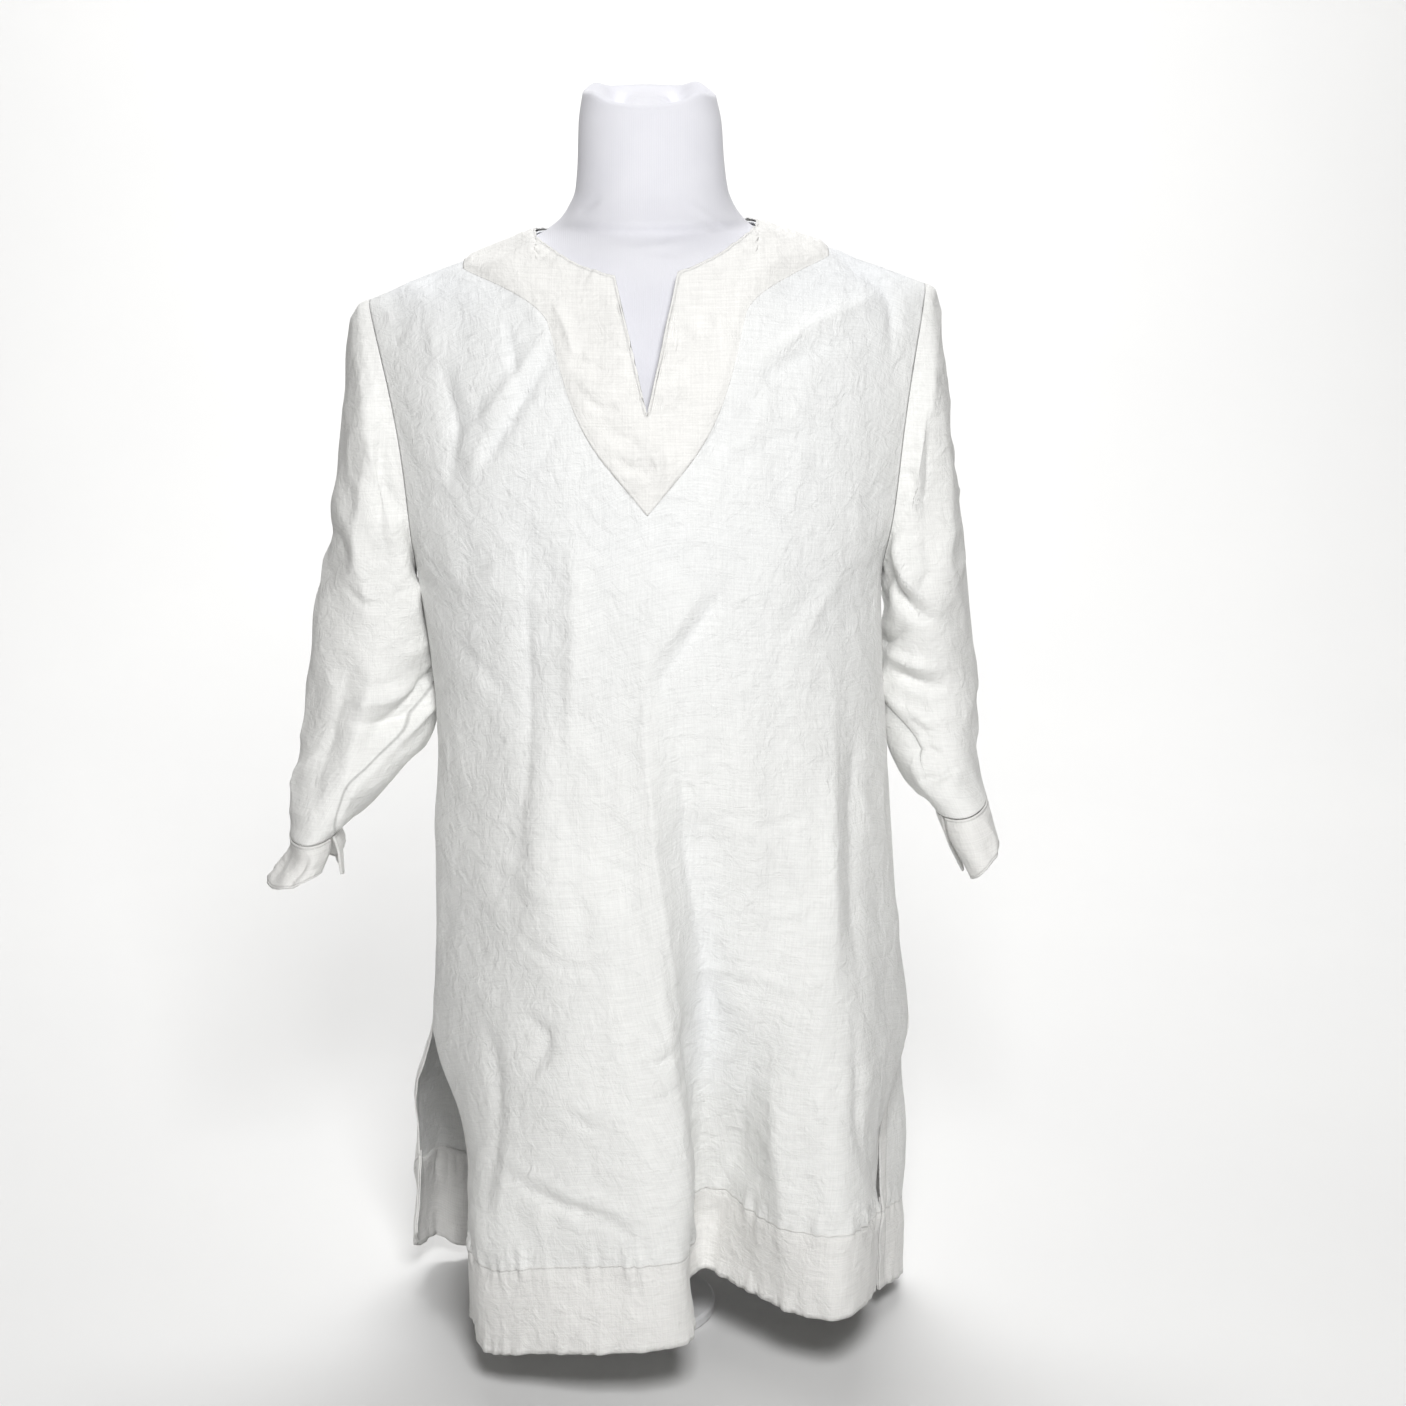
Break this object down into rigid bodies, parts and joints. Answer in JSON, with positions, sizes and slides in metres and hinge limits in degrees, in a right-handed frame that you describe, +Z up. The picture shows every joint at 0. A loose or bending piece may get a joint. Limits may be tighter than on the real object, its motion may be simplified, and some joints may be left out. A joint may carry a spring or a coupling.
{
  "type": "tunic top on limbless dress form",
  "caption": "Loose A-line tunic top of thin linen with a round notched neckline, pointed neck facing, three-quarter sleeves and side slits, worn by a dress form on a low stand.",
  "frame": {"origin": "on the stand's underside, below the middle of the tunic", "axes": "+Z up, the tunic's front faces -Y, its wearer's right side is on -X"},
  "size_m": [0.5744, 0.3342, 0.9926],
  "materials": {
    "linen": "matt",
    "linen_double": "matt",
    "jersey": "matt",
    "stand": "satin"
  },
  "bodies": {
    "root": {"front_panel": "linen", "back_panel": "linen", "sleeve_left": "linen", "sleeve_right": "linen", "cuff_left": "linen_double", "cuff_right": "linen_double", "neck_facing_front": "linen_double", "neck_facing_back": "linen_double", "hem_facing_front": "linen_double", "hem_facing_back": "linen_double", "dress_form": "jersey", "stand_pole": "stand", "stand_base": "stand"}
  },
  "joints": []
}
